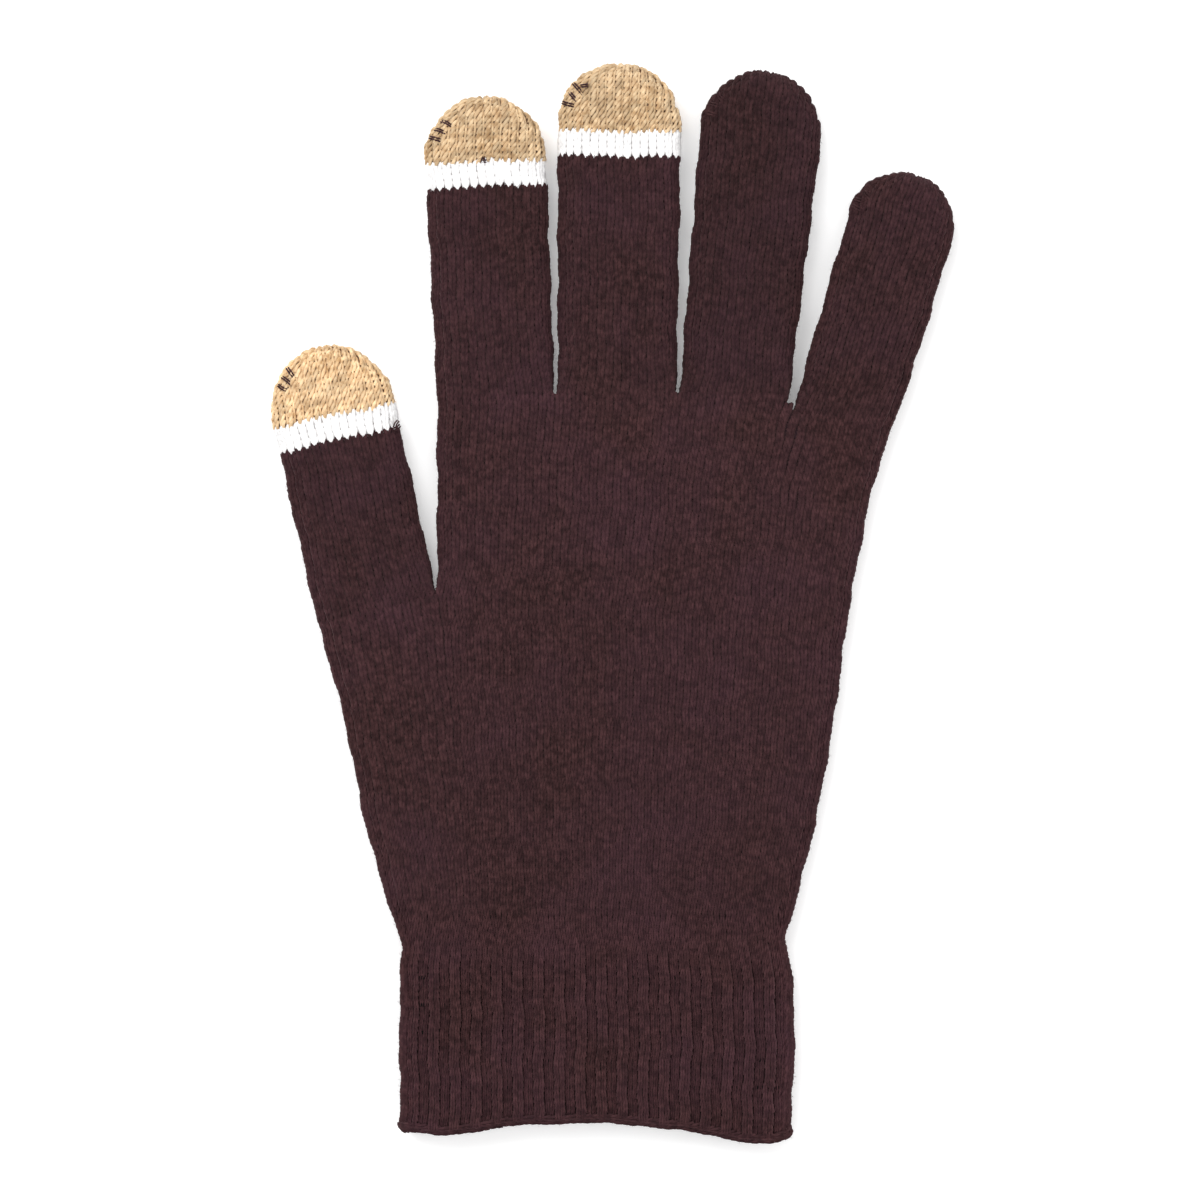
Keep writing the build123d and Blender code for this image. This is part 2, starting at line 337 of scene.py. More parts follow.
def palmStitches(face, first, last):
    """Stitches on one face of the palm between two heights."""
    patch = Patch()
    roll, half = cloth["roll"], cloth["half"]
    along = np.array([0.0, 1.0, 0.0])
    gusset = (np.arange(palm["gussetColumns"]) + 0.5) / palm["gussetColumns"]
    main = (np.arange(palm["columns"]) + 0.5) / palm["columns"]
    waist, crotch = palm["waist"], palm["crotch"][1]
    rows = int(round((crotch - waist) / cloth["course"]))
    for j in range(rows):
        v = (j + 0.5) / rows
        if not first <= waist + v * (crotch - waist) < last:
            continue
        left, joint, right = palmRow(v)
        place, facing, width = rowOf(left, joint, gusset, roll, None, face, half, cloth["middle"])
        spread = width - roll + quarter(roll, half)
        lean = np.array([-0.22 * v, 1.0, 0.0])
        patch.add(place, facing, lean, spread / len(gusset), cloth["course"], j)
        place, facing, width = rowOf(joint, right, main, None, roll, face, half, cloth["middle"])
        spread = width - roll + quarter(roll, half)
        patch.add(place, facing, along, spread / len(main), cloth["course"], j)
    above = int(round((palm["rootLine"][0] - crotch) / cloth["course"]))
    for j in range(above):
        v = (j + 0.5) / above
        if not first <= crotch + v * (palm["rootLine"][0] - crotch) < last:
            continue
        left, right = upperRow(v)
        rolled = roll * float(smooth(v * above * cloth["course"] / cloth["crotchRun"]))
        place, facing, width = rowOf(left, right, main, rolled, roll, face, half, cloth["middle"])
        spread = width - roll - rolled + quarter(roll, half) + quarter(rolled, half)
        patch.add(droop(place, v), facing, along, spread / len(main), cloth["course"], j + rows)
    return patch.arrays()


def palmGround():
    """Two hollow grounds: the full width up to the crotch, and the palm above it."""
    tubes = []
    middle = cloth["middle"]
    for inset in (cloth["groundInset"], cloth["wall"]):
        half, roll = cloth["half"] - inset, cloth["roll"] - inset
        lower, upper = [], []
        for v in np.linspace(0, 1, 45):
            left, joint, right = palmRow(v)
            left, right = (left[0] + inset, left[1]), (right[0] - inset, right[1])
            t = np.linspace(0, 1, 16)
            s = np.linspace(0, 1, 44)[1:]
            halves = []
            for face in (1, -1):
                a = rowOf(left, joint, t, roll, None, face, half, middle)[0]
                b = rowOf(joint, right, s, None, roll, face, half, middle)[0]
                halves.append(np.vstack([a, b]))
            lower.append(np.vstack([halves[0], halves[1][::-1]]))
        for v in np.linspace(-0.02, 1, 30):
            left, right = upperRow(v)
            left, right = (left[0] + inset, left[1]), (right[0] - inset, right[1])
            rolled = roll * float(smooth(v * 40.5 / cloth["crotchRun"]))
            upper.append(droop(ringAt(left, right, rolled, roll, half, middle, 44), max(v, 0)))
        tubes.append((lower, upper))
    outer, inner = tubes
    return [outer[0], inner[0]], [outer[1], inner[1]]


def cuffPlan(v):
    """The plan ends of the cuff's row at v, from the palm's waist down to the bound end."""
    y = palm["waist"] + v * (-107.2 - palm["waist"])
    return (leftEdge(y), y), (rightEdge(y), y)


def pulled(y):
    return smooth((cuff["pull"][0] - y) / (cuff["pull"][0] - cuff["pull"][1]))


def bow(place, v):
    """Bend a cuff row towards the line of its bound end."""
    end = through(cuff["end"], place[:, 0])
    place[:, 1] += (end + 107.2) * v ** 1.5
    return place


def cuffStitches(face):
    patch = Patch()
    columns = cuff["columns"]
    t = (np.arange(columns) + 0.5) / columns
    wave = np.cos(2 * pi * (np.arange(columns) + 0.5) / cuff["ribWales"])
    rows = int(round((palm["waist"] + 107.2) / cloth["course"]))
    for j in range(rows):
        v = (j + 0.5) / rows
        left, right = cuffPlan(v)
        ribbed = float(pulled(left[1]))
        middle = cloth["middle"] + cuff["rise"] * ribbed
        lift = cuff["ribDepth"] * ribbed * wave
        half = cloth["half"] - cuff["thinner"] * ribbed
        roll = cloth["roll"]
        place, facing, width = rowOf(left, right, t, roll, roll, face, half, middle, lift)
        spread = width - 2 * roll + 2 * quarter(roll, half)
        patch.add(bow(place, v), facing, np.array([0.0, -1.0, 0.0]), spread / columns,
                  cloth["course"], j)
    return patch.arrays()


def cuffGround():
    outer, inner = [], []
    for rings, inset, lower in ((outer, 0.3, 1.05), (inner, 1.5, 1.9)):
        half, roll = cloth["half"] - lower, cloth["roll"] - inset
        for v in np.linspace(-0.01, 1, 40):
            left, right = cuffPlan(v)
            middle = cloth["middle"] + cuff["rise"] * float(pulled(left[1]))
            left, right = (left[0] + inset, left[1]), (right[0] - inset, right[1])
            rings.append(bow(ringAt(left, right, roll, roll, half, middle, 60), max(v, 0)))
    return [outer, inner]


def boundEdge():
    """A chain of stitches lying sideways round the cuff's end, in two turns."""
    patch = Patch()
    left, right = cuffPlan(1.0)
    middle = cloth["middle"] + cuff["rise"]
    across = np.array([1.0, 0.0, 0.0])
    count = 60
    t = (np.arange(count) + 0.5) / count
    for face in (1, -1):
        for step, (out, drop, dip) in enumerate(((0.1, 0.1, 0.25), (0.95, 0.75, 0.75))):
            place, facing, width = rowOf(left, right, t, cloth["roll"], cloth["roll"], face,
                                         cloth["half"] + 0.15 - drop, middle)
            place = bow(place, 1.0)
            place[:, 1] -= out
            facing = facing + np.array([0.0, -dip, 0.0])
            facing /= np.linalg.norm(facing, axis=1)[:, None]
            patch.add(place, facing, across * face, 1.15, 1.35, step)
    return patch.arrays()


# ---------------------------------------------------------------- materials
def newMaterial(name):
    material = bpy.data.materials.new(name)
    material.use_nodes = True
    tree = material.node_tree
    return material, tree, tree.nodes["Principled BSDF"]


def yarn(name, look):
    """Spun yarn: heathered colour, fine fibre bumps and a soft sheen."""
    material, tree, shader = newMaterial(name)
    nodes, links = tree.nodes, tree.links
    where = nodes.new("ShaderNodeTexCoord")
    heather = nodes.new("ShaderNodeTexNoise")
    heather.inputs["Scale"].default_value = look["heatherScale"]
    heather.inputs["Detail"].default_value = 3.0
    links.new(where.outputs["Object"], heather.inputs["Vector"])
    ramp = nodes.new("ShaderNodeValToRGB")
    for element, (place, colour) in zip(ramp.color_ramp.elements, look["heather"]):
        element.position = place
        element.color = (*colour, 1)
    links.new(heather.outputs["Fac"], ramp.inputs["Fac"])
    patches = nodes.new("ShaderNodeTexNoise")
    patches.inputs["Scale"].default_value = look["patchScale"]
    patches.inputs["Detail"].default_value = 2.0
    links.new(where.outputs["Object"], patches.inputs["Vector"])
    spread = nodes.new("ShaderNodeMapRange")
    spread.inputs["From Min"].default_value = 0.35
    spread.inputs["From Max"].default_value = 0.7
    spread.inputs["To Max"].default_value = look["patchAmount"]
    links.new(patches.outputs["Fac"], spread.inputs["Value"])
    tint = nodes.new("ShaderNodeMix")
    tint.data_type = "RGBA"
    tint.inputs[7].default_value = (*look["patch"], 1)
    links.new(spread.outputs["Result"], tint.inputs["Factor"])
    links.new(ramp.outputs["Color"], tint.inputs[6])
    tone = nodes.new("ShaderNodeAttribute")
    tone.attribute_name = "tone"
    shade = nodes.new("ShaderNodeMix")
    shade.data_type = "RGBA"
    shade.blend_type = "MULTIPLY"
    shade.inputs["Factor"].default_value = 1.0
    links.new(tint.outputs[2], shade.inputs[6])
    links.new(tone.outputs["Color"], shade.inputs[7])
    links.new(shade.outputs[2], shader.inputs["Base Color"])
    fibre = nodes.new("ShaderNodeTexNoise")
    fibre.inputs["Scale"].default_value = 4200.0
    fibre.inputs["Detail"].default_value = 2.0
    links.new(where.outputs["Object"], fibre.inputs["Vector"])
    bump = nodes.new("ShaderNodeBump")
    bump.inputs["Strength"].default_value = look["fibre"]
    bump.inputs["Distance"].default_value = 0.00015
    links.new(fibre.outputs["Fac"], bump.inputs["Height"])
    links.new(bump.outputs["Normal"], shader.inputs["Normal"])
    shader.inputs["Roughness"].default_value = 0.9
    shader.inputs["Specular IOR Level"].default_value = 0.15
    shader.inputs["Sheen Weight"].default_value = look["sheen"]
    shader.inputs["Sheen Roughness"].default_value = 0.5
    shader.inputs["Sheen Tint"].default_value = (*look["sheenTint"], 1)
    return material


looks = {
    "dark": {"heather": ((0.36, (0.024, 0.0088, 0.0096)), (0.66, (0.058, 0.0235, 0.0245))),
             "patch": (0.052, 0.021, 0.030), "patchAmount": 0.45, "patchScale": 60.0,
             "heatherScale": 900.0, "fibre": 0.5, "sheen": 0.14, "sheenTint": (0.6, 0.36, 0.36)},
    "beige": {"heather": ((0.34, (0.42, 0.25, 0.115)), (0.66, (0.76, 0.565, 0.345))),
              "patch": (0.80, 0.62, 0.41), "patchAmount": 0.4, "patchScale": 110.0,
              "heatherScale": 700.0, "fibre": 0.5, "sheen": 0.3, "sheenTint": (0.9, 0.8, 0.7)},
    "white": {"heather": ((0.3, (0.90, 0.885, 0.88)), (0.7, (0.95, 0.94, 0.935))),
              "patch": (0.93, 0.92, 0.93), "patchAmount": 0.3, "patchScale": 80.0,
              "heatherScale": 800.0, "fibre": 0.35, "sheen": 0.3, "sheenTint": (1.0, 1.0, 1.0)},
    # The three ground looks are darker than their yarn: painted shade for the gaps between the stitches.
    "darkGround": {"heather": ((0.3, (0.018, 0.008, 0.010)), (0.7, (0.03, 0.014, 0.017))),
                   "patch": (0.03, 0.013, 0.02), "patchAmount": 0.4, "patchScale": 90.0,
                   "heatherScale": 900.0, "fibre": 0.3, "sheen": 0.1, "sheenTint": (0.5, 0.4, 0.4)},
    "beigeGround": {"heather": ((0.3, (0.09, 0.032, 0.010)), (0.7, (0.20, 0.09, 0.034))),
                    "patch": (0.20, 0.11, 0.06), "patchAmount": 0.4, "patchScale": 200.0,
                    "heatherScale": 900.0, "fibre": 0.3, "sheen": 0.1, "sheenTint": (0.8, 0.7, 0.6)},
    "whiteGround": {"heather": ((0.3, (0.34, 0.30, 0.29)), (0.7, (0.60, 0.56, 0.55))),
                    "patch": (0.7, 0.68, 0.68), "patchAmount": 0.3, "patchScale": 200.0,
                    "heatherScale": 900.0, "fibre": 0.3, "sheen": 0.1, "sheenTint": (1.0, 1.0, 1.0)},
}
materials = {name: yarn(name + "Yarn", look) for name, look in looks.items()}
print("materials made")


# ---------------------------------------------------------------- the stitch
def stitchTree():
    """Geometry nodes that set one two-legged stitch on every point of a mesh."""
    tree = bpy.data.node_groups.new("knitStitches", "GeometryNodeTree")
    face = tree.interface
    face.new_socket("Geometry", in_out="INPUT", socket_type="NodeSocketGeometry")
    for name in ("Left Foot", "Left Bend", "Left Top", "Right Foot", "Right Bend", "Right Top"):
        face.new_socket(name, in_out="INPUT", socket_type="NodeSocketVector")
    for name in ("Yarn Radius", "Fibre Share", "Fibre Length", "Fibre Radius"):
        face.new_socket(name, in_out="INPUT", socket_type="NodeSocketFloat")
    face.new_socket("Wobble", in_out="INPUT", socket_type="NodeSocketFloat")
    face.new_socket("Seed", in_out="INPUT", socket_type="NodeSocketInt")
    face.new_socket("Yarn", in_out="INPUT", socket_type="NodeSocketMaterial")
    face.new_socket("Geometry", in_out="OUTPUT", socket_type="NodeSocketGeometry")
    nodes, links = tree.nodes, tree.links
    given = nodes.new("NodeGroupInput")
    profile = nodes.new("GeometryNodeCurvePrimitiveCircle")
    profile.inputs["Resolution"].default_value = 4
    links.new(given.outputs["Yarn Radius"], profile.inputs["Radius"])
    legs = nodes.new("GeometryNodeJoinGeometry")
    for side in ("Left", "Right"):
        curve = nodes.new("GeometryNodeCurveQuadraticBezier")
        curve.inputs["Resolution"].default_value = 3
        links.new(given.outputs[side + " Foot"], curve.inputs["Start"])
        links.new(given.outputs[side + " Bend"], curve.inputs["Middle"])
        links.new(given.outputs[side + " Top"], curve.inputs["End"])
        tube = nodes.new("GeometryNodeCurveToMesh")
        tube.inputs["Fill Caps"].default_value = True
        links.new(curve.outputs["Curve"], tube.inputs["Curve"])
        links.new(profile.outputs["Curve"], tube.inputs["Profile Curve"])
        links.new(tube.outputs["Mesh"], legs.inputs["Geometry"])
    keep = nodes.new("GeometryNodeStoreNamedAttribute")
    keep.data_type = "FLOAT_VECTOR"
    keep.inputs["Name"].default_value = "local"
    position = nodes.new("GeometryNodeInputPosition")
    links.new(legs.outputs["Geometry"], keep.inputs["Geometry"])
    links.new(position.outputs["Position"], keep.inputs["Value"])

    def named(name, kind):
        node = nodes.new("GeometryNodeInputNamedAttribute")
        node.data_type = kind
        node.inputs["Name"].default_value = name
        return node.outputs["Attribute"]

    axes = nodes.new("FunctionNodeAxesToRotation")
    axes.primary_axis = "Z"
    axes.secondary_axis = "Y"
    links.new(named("facing", "FLOAT_VECTOR"), axes.inputs["Primary Axis"])
    links.new(named("along", "FLOAT_VECTOR"), axes.inputs["Secondary Axis"])
    shake = nodes.new("FunctionNodeRandomValue")
    shake.data_type = "FLOAT_VECTOR"
    low = nodes.new("ShaderNodeMath")
    low.operation = "MULTIPLY"
    low.inputs[1].default_value = -1.0
    links.new(given.outputs["Wobble"], low.inputs[0])
    links.new(low.outputs[0], shake.inputs["Min"])
    links.new(given.outputs["Wobble"], shake.inputs["Max"])
    links.new(given.outputs["Seed"], shake.inputs["Seed"])
    wobble = nodes.new("FunctionNodeEulerToRotation")
    links.new(shake.outputs["Value"], wobble.inputs["Euler"])
    turn = nodes.new("FunctionNodeRotateRotation")
    turn.rotation_space = "LOCAL"
    links.new(axes.outputs["Rotation"], turn.inputs["Rotation"])
    links.new(wobble.outputs["Rotation"], turn.inputs["Rotate By"])
    instance = nodes.new("GeometryNodeInstanceOnPoints")
    links.new(given.outputs["Geometry"], instance.inputs["Points"])
    links.new(keep.outputs["Geometry"], instance.inputs["Instance"])
    links.new(turn.outputs["Rotation"], instance.inputs["Rotation"])
    links.new(named("size", "FLOAT_VECTOR"), instance.inputs["Scale"])
    hair = nodes.new("GeometryNodeCurveQuadraticBezier")
    hair.inputs["Resolution"].default_value = 2
    hair.inputs["Middle"].default_value = (0.1, 0.0, 0.7)
    hair.inputs["End"].default_value = (0.75, 0.2, 0.9)
    strand = nodes.new("GeometryNodeCurvePrimitiveCircle")
    strand.inputs["Resolution"].default_value = 3
    links.new(given.outputs["Fibre Radius"], strand.inputs["Radius"])
    fibre = nodes.new("GeometryNodeCurveToMesh")
    fibre.inputs["Fill Caps"].default_value = True
    links.new(hair.outputs["Curve"], fibre.inputs["Curve"])
    links.new(strand.outputs["Curve"], fibre.inputs["Profile Curve"])
    chosen = nodes.new("FunctionNodeRandomValue")
    chosen.data_type = "BOOLEAN"
    links.new(given.outputs["Fibre Share"], chosen.inputs["Probability"])
    links.new(given.outputs["Seed"], chosen.inputs["Seed"])
    spin = nodes.new("FunctionNodeRandomValue")
    spin.data_type = "FLOAT_VECTOR"
    spin.inputs["Min"].default_value = (-0.9, -0.9, -pi)
    spin.inputs["Max"].default_value = (0.9, 0.9, pi)
    links.new(given.outputs["Seed"], spin.inputs["Seed"])
    spun = nodes.new("FunctionNodeEulerToRotation")
    links.new(spin.outputs["Value"], spun.inputs["Euler"])
    aim = nodes.new("FunctionNodeRotateRotation")
    aim.rotation_space = "LOCAL"
    links.new(axes.outputs["Rotation"], aim.inputs["Rotation"])
    links.new(spun.outputs["Rotation"], aim.inputs["Rotate By"])
    hairs = nodes.new("GeometryNodeInstanceOnPoints")
    links.new(given.outputs["Geometry"], hairs.inputs["Points"])
    links.new(fibre.outputs["Mesh"], hairs.inputs["Instance"])
    links.new(chosen.outputs[3], hairs.inputs["Selection"])
    links.new(aim.outputs["Rotation"], hairs.inputs["Rotation"])
    links.new(given.outputs["Fibre Length"], hairs.inputs["Scale"])
    both = nodes.new("GeometryNodeJoinGeometry")
    links.new(instance.outputs["Instances"], both.inputs["Geometry"])
    links.new(hairs.outputs["Instances"], both.inputs["Geometry"])
    real = nodes.new("GeometryNodeRealizeInstances")
    links.new(both.outputs["Geometry"], real.inputs["Geometry"])
    paint = nodes.new("GeometryNodeSetMaterial")
    links.new(real.outputs["Geometry"], paint.inputs["Geometry"])
    links.new(given.outputs["Yarn"], paint.inputs["Material"])
    out = nodes.new("NodeGroupOutput")
    links.new(paint.outputs["Geometry"], out.inputs["Geometry"])
    return tree


stitch = {"wide": 1.72, "high": 1.22}
knit = {
    "Left Foot": (-0.17, -1.02, -0.34), "Left Bend": (-0.36, 0.0, 0.46), "Left Top": (-0.56, 1.02, -0.34),
    "Right Foot": (0.17, -1.02, -0.34), "Right Bend": (0.36, 0.0, 0.46), "Right Top": (0.56, 1.02, -0.34),
    "Yarn Radius": 0.45, "Wobble": 0.06,
    "Fibre Share": 0.5, "Fibre Length": 0.0009, "Fibre Radius": 0.026,
}
leaning = {
    "Left Foot": (-0.66, -0.84, -0.25), "Left Bend": (-0.2, 0.0, 0.62), "Left Top": (0.3, 0.92, -0.25),
    "Right Foot": (0.42, -0.9, -0.62), "Right Bend": (0.62, 0.0, -0.02), "Right Top": (0.82, 0.9, -0.62),
    "Yarn Radius": 0.4, "Wobble": 0.12,
    "Fibre Share": 0.5, "Fibre Length": 0.0008, "Fibre Radius": 0.026,
}
whip = {
    "Left Foot": (-0.45, -1.2, -0.5), "Left Bend": (-0.35, 0.0, 0.75), "Left Top": (-0.25, 1.3, -0.5),
    "Right Foot": (0.35, -1.0, -0.5), "Right Bend": (0.55, 0.1, 0.65), "Right Top": (0.5, 1.2, -0.5),
    "Yarn Radius": 0.3, "Wobble": 0.25,
    "Fibre Share": 1.0, "Fibre Length": 0.0011, "Fibre Radius": 0.03,
}
tree = stitchTree()
sockets = {item.name: item.identifier for item in tree.interface.items_tree if item.in_out == "INPUT"}
rng = np.random.default_rng(29)


def knitted(name, arrays, colour, shape, seed, tones=(0.82, 1.18)):
    """Turn stitch places into one mesh of stitches."""
    count = len(arrays["place"])
    points = bpy.data.meshes.new(name + "Points")
    jitter = rng.normal(0, 0.035, (count, 3))
    points.from_pydata((settle(arrays["place"] + jitter) * mm).tolist(), [], [])
    size = arrays["size"] / (stitch["wide"], stitch["high"], 1.0) * rng.normal(1, 0.03, (count, 1)) * mm
    for label, values in (("facing", arrays["facing"]), ("along", arrays["along"]), ("size", size)):
        layer = points.attributes.new(label, "FLOAT_VECTOR", "POINT")
        layer.data.foreach_set("vector", np.ascontiguousarray(values, dtype=np.float32).ravel())
    tone = rng.uniform(*tones, count).astype(np.float32)
    colours = points.attributes.new("tone", "FLOAT_COLOR", "POINT")
    colours.data.foreach_set("color", np.column_stack([tone, tone, tone, np.ones(count)]).ravel().astype(np.float32))
    order = points.attributes.new("order", "INT", "POINT")
    order.data.foreach_set("value", np.arange(count, dtype=np.int32))
    holder = bpy.data.objects.new(name + "Points", points)
    bpy.context.collection.objects.link(holder)
    modifier = holder.modifiers.new("stitches", "NODES")
    modifier.node_group = tree
    for label, value in shape.items():
        modifier[sockets[label]] = value
    modifier[sockets["Seed"]] = seed
    modifier[sockets["Yarn"]] = materials[colour]
    holder.update_tag()
    graph = bpy.context.evaluated_depsgraph_get()
    mesh = bpy.data.meshes.new_from_object(holder.evaluated_get(graph), depsgraph=graph)
    bpy.data.objects.remove(holder)
    restOnTable(mesh)
    piece = bpy.data.objects.new(name, mesh)
    bpy.context.collection.objects.link(piece)
    mesh.polygons.foreach_set("use_smooth", np.ones(len(mesh.polygons), dtype=bool))
    unwrapByStitch(mesh, count)
    return piece


def restOnTable(mesh):
    """Press what would reach below the table up against it."""
    low, give = 0.15 * mm, 0.4 * mm
    place = np.empty(len(mesh.vertices) * 3, dtype=np.float32)
    mesh.vertices.foreach_get("co", place)
    height = place[2::3]
    place[2::3] = np.where(height < low, low * np.exp((height - low) / give), height)
    mesh.vertices.foreach_set("co", place)
    mesh.update()


def unwrapByStitch(mesh, count):
    """Give each stitch its own square of the texture."""
    total = len(mesh.vertices)
    local = np.empty(total * 3, dtype=np.float32)
    mesh.attributes["local"].data.foreach_get("vector", local)
    order = np.empty(total, dtype=np.int32)
    mesh.attributes["order"].data.foreach_get("value", order)
    side = int(np.ceil(count ** 0.5))
    local = local.reshape(-1, 3)
    u = (order % side + 0.08 + 0.84 * np.clip(local[:, 0] / 2.4 + 0.5, 0, 1)) / side
    v = (order // side + 0.08 + 0.84 * np.clip(local[:, 1] / 3.2 + 0.5, 0, 1)) / side
    corner = np.empty(len(mesh.loops), dtype=np.int32)
    mesh.loops.foreach_get("vertex_index", corner)
    layer = mesh.uv_layers.new(name="OFBake")
    layer.data.foreach_set("uv", np.column_stack([u[corner], v[corner]]).astype(np.float32).ravel())
    mesh.attributes.remove(mesh.attributes["local"])
    mesh.attributes.remove(mesh.attributes["order"])


def grounded(name, tubes, colour):
    """Closed ground cloth from rings: one run of rings is solid, two are an outer and inner wall."""
    outer = [settle(ring) * mm for ring in tubes[0]]
    count = len(outer[0])
    vertices = [point for ring in outer for point in ring]
    faces = []

    def walls(base, rings, flip):
        for i in range(rings - 1):
            for k in range(count):
                a = base + i * count + k
                b = base + i * count + (k + 1) % count
                quad = (a, b, b + count, a + count)
                faces.append(quad[::-1] if flip else quad)

    walls(0, len(outer), True)
    last = (len(outer) - 1) * count
    if len(tubes) == 1:
        faces.append(tuple(range(count)))
        faces.append(tuple(range(last, last + count))[::-1])
    else:
        inner = [settle(ring) * mm for ring in tubes[1]]
        base = len(vertices)
        vertices += [point for ring in inner for point in ring]
        walls(base, len(inner), False)
        for k in range(count):
            n = (k + 1) % count
            faces.append((k, n, base + n, base + k))
            faces.append((last + k, base + last + k, base + last + n, last + n))
    mesh = bpy.data.meshes.new(name)
    mesh.from_pydata([tuple(point) for point in vertices], [], faces)
    import bmesh
    work = bmesh.new()
    work.from_mesh(mesh)
    bmesh.ops.remove_doubles(work, verts=work.verts, dist=1e-6)
    bmesh.ops.recalc_face_normals(work, faces=work.faces)
    work.to_mesh(mesh)
    work.free()
    mesh.polygons.foreach_set("use_smooth", np.ones(len(mesh.polygons), dtype=bool))
    tone = mesh.attributes.new("tone", "FLOAT_COLOR", "POINT")
    tone.data.foreach_set("color", np.ones(len(mesh.vertices) * 4, dtype=np.float32))
    mesh.materials.append(materials[colour])
    piece = bpy.data.objects.new(name, mesh)
    bpy.context.collection.objects.link(piece)
    return piece


def across(piece, joint, before, after):
    """Bake a piece's placement into its mesh; it is not bent over the joint. The joint and the lengths before and
    after it are not used.
    """
    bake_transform(piece)


# ---------------------------------------------------------------- building the palm and cuff
seed = 3
for face, side in ((1, "front"), (-1, "back")):
    for part, low, high in (("lower", -200, palm["split"]), ("upper", palm["split"], 200)):
        piece = knitted(f"palm_{part}_{side}_knit", palmStitches(face, low, high), "dark", knit, seed)
        seed += 1
        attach(piece, "palm")
        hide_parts("palm_tube")
lowerGround, upperGround = palmGround()
# The palm's grounds take the darker ground look, painted shade between the stitches.
for label, tubes in (("lower", lowerGround), ("upper", upperGround)):
    piece = grounded(f"palm_{label}_ground", tubes, "darkGround")
    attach(piece, "palm")
print("palm knitted")

for face, side in ((1, "front"), (-1, "back")):
    piece = knitted(f"cuff_{side}_knit", cuffStitches(face), "dark", knit, seed, (0.95, 1.32))
    seed += 1
    across(piece, "wrist_fold", 6, 6)
    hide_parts("cuff_rib")
# The cuff's ground takes the darker ground look, painted shade between the stitches.
piece = grounded("cuff_ground", cuffGround(), "darkGround")
across(piece, "wrist_fold", 6, 6)
piece = knitted("cuff_bound_chain", boundEdge(), "dark", knit, seed)
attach(piece, "cuff")
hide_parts("cuff_bound_edge")
print("cuff knitted")


# ---------------------------------------------------------------- building the digits
def distance(name, joint):
    """How far a joint's axis is along its digit."""
    root, axis, radius, centre = digitFrame(name)
    return float((np.array(joints[joint]["pos_m"][:2]) / mm - root) @ axis)


for name, digit in digits.items():
    root, axis, radius, centre = digitFrame(name)
    tipFold = distance(name, name + "_tip_fold")
    endOfTip = 999.0
    runs = []
    if name == "thumb":
        runs.append(("lower", 0.0, 17.0, "thumb_root_fold", 0, 8, ["thumb_lower_tube"], "dark"))
        lastStart = 17.0
    else:
        midFold = distance(name, name + "_middle_fold")
        first, second = midFold - 10.0, (midFold + tipFold) / 2
        runs.append(("lower", 0.0, first, name + "_root_fold", 0, 8, [name + "_lower_tube"], "dark"))
        runs.append(("middle", first, second, name + "_middle_fold", 5, 5, [name + "_middle_tube"], "dark"))
        lastStart = second
    fold2 = name + "_tip_fold"
    if digit["stripe"]:
        low, high = digit["stripe"]
        upperNode = ["thumb_upper_tube"] if name == "thumb" else [name + "_middle_tube"]
        runs.append(("upper", lastStart, low, fold2, 4, 4, upperNode, "dark"))
        runs.append(("stripe", low, high, fold2, 4, 4, [name + "_white_band"], "white"))
        runs.append(("cap", high, endOfTip, fold2, 4, 4, [name + "_conductive_cap"], "beige"))
    else:
        runs.append(("tip", lastStart, endOfTip, fold2, 4, 4, [name + "_closed_tip"], "dark"))
    for part, low, high, joint, before, after, nodes, colour in runs:
        last = min(high, centre + 14.5)
        shape = leaning if colour == "beige" else knit
        capTones = (0.97, 1.40) if name == "thumb" else (0.78, 1.12)
        tones = {"white": (0.90, 1.02), "beige": capTones, "dark": digit["tones"]}[colour]
        piece = knitted(f"{name}_{part}_knit", digitStitches(name, low, last), colour, shape, seed, tones)
        seed += 1
        # Each ground takes its colour's darker ground look, painted shade between the stitches.
        ground = grounded(f"{name}_{part}_ground", digitGround(name, max(low, 0.2), last), colour + "Ground")
        for each in (piece, ground):
            across(each, joint, before, after)
        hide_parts(*nodes)

def closing(name):
    """Three dark stitches over the edge that close a digit's tip."""
    root, axis, radius, centre = digitFrame(name)
    patch = Patch()
    for turn in np.radians([140.0, 150.0, 160.0]):
        outward = np.array([cos(turn), sin(turn), 0.0])
        plan = root + axis * centre + outward[:2] * (radius - 1.15)
        place = np.array([[plan[0], plan[1], cloth["middle"] + 0.86 * cloth["half"]]])
        facing = (outward * 0.5 + up * 0.86)[None, :]
        patch.add(place, facing, outward - up * 0.58, 1.0, 1.5, 0)
    return patch.arrays()


for name in digits:
    piece = knitted(f"{name}_closing_yarn", closing(name), "dark", whip, seed)
    seed += 1
    across(piece, name + "_tip_fold", 4, 4)
    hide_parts(name + "_closing_stitches")

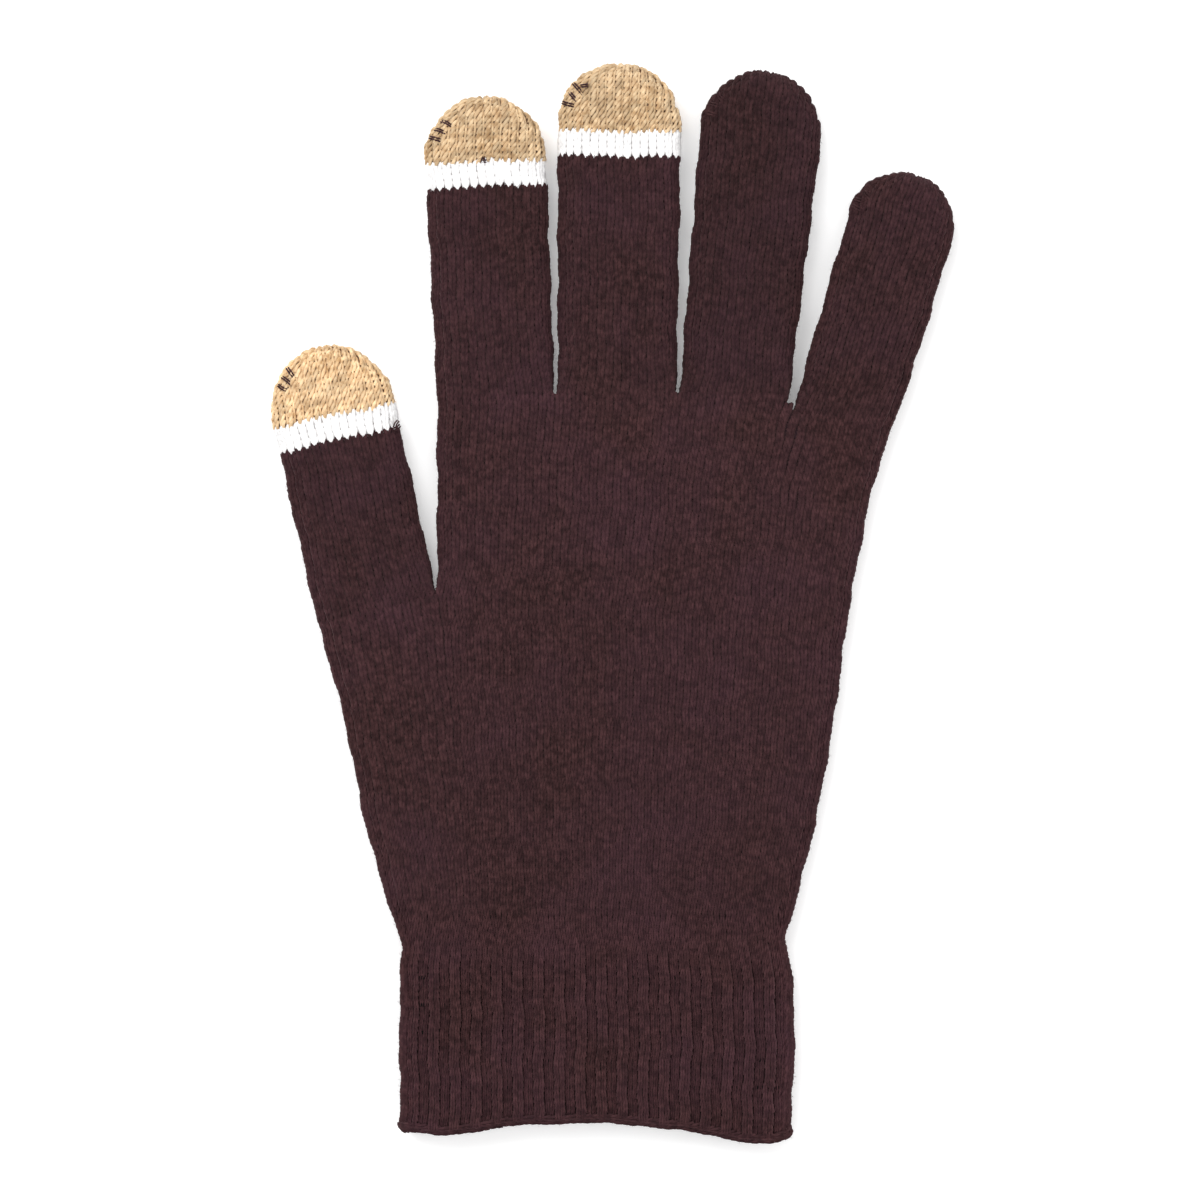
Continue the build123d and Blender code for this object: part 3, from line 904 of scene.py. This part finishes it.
looseEnds = {
    "index": [((-26.2, 90.0), (0.3, 1.0, 0.0)), ((-25.6, 89.6), (1.0, 0.3, 0.0))],
    "middle": [((-5.4, 105.2), (1.0, 0.3, 0.0))],
    "thumb": [((-43.6, 35.6), (1.0, 0.6, 0.0)), ((-43.9, 36.4), (0.2, 1.0, 0.0))],
}
for name, ends in looseEnds.items():
    patch = Patch()
    for (x, y), along in ends:
        place = np.array([[x, y, cloth["middle"] + cloth["half"] + cloth["crown"] + 0.25]])
        patch.add(place, up[None, :], np.array(along), 0.9, 0.75, 0)
    piece = knitted(f"{name}_loose_end", patch.arrays(), "dark", whip, seed)
    seed += 1
    across(piece, name + "_tip_fold", 4, 4)
print("digits knitted")

# The hidden yarn tails and elastic threads keep their own shapes.
for node, o in frame["nodes"].items():
    # The elastic threads take the darker ground look, whose darkness is painted shade.
    kinds = {"yarn_tail": "dark", "elastic_threads": "darkGround"}
    for ending, colour in kinds.items():
        if node.endswith(ending):
            o.material_slots[0].material = materials[colour]

# ---------------------------------------------------------------- floor, light and camera
camera = {"centre": (-2.36, 0.41), "height": 2400.0, "field": 244.4, "sensor": 36.0}
bpy.ops.mesh.primitive_plane_add(size=6, location=(0, 0, -0.0002))
floor = bpy.context.object
floor.name = "floor"
material, floorTree, shader = newMaterial("paleFloor")
shader.inputs["Base Color"].default_value = (0.97, 0.97, 0.97, 1)
shader.inputs["Roughness"].default_value = 1.0
shader.inputs["Specular IOR Level"].default_value = 0.0
shader.inputs["Emission Color"].default_value = (1, 1, 1, 1)
shader.inputs["Emission Strength"].default_value = 0.22
floor.data.materials.append(material)

world = bpy.data.worlds.new("softSky")
world.use_nodes = True
world.node_tree.nodes["Background"].inputs["Color"].default_value = (1, 1, 1, 1)
world.node_tree.nodes["Background"].inputs["Strength"].default_value = 0.78
bpy.context.scene.world = world
for label, place, power, size in (("key", (-0.7, 0.9, 1.5), 20, 1.2), ("fill", (0.9, -0.5, 1.4), 9, 1.4)):
    light = bpy.data.lights.new(label, "AREA")
    light.energy = power
    light.size = size
    lamp = bpy.data.objects.new(label, light)
    lamp.location = place
    direction = np.array(place)
    lamp.rotation_mode = "QUATERNION"
    from mathutils import Vector
    lamp.rotation_quaternion = Vector(direction).to_track_quat("Z", "Y")
    bpy.context.collection.objects.link(lamp)

lens = bpy.data.cameras.new("overhead")
lens.sensor_width = camera["sensor"]
lens.lens = camera["sensor"] * (camera["height"] - 8.0) / camera["field"]
lens.clip_end = 20
eye = bpy.data.objects.new("overhead", lens)
eye.location = (camera["centre"][0] * mm, camera["centre"][1] * mm, camera["height"] * mm)
bpy.context.collection.objects.link(eye)
bpy.context.scene.camera = eye
bpy.context.scene.view_settings.view_transform = "Standard"
print("stage set")
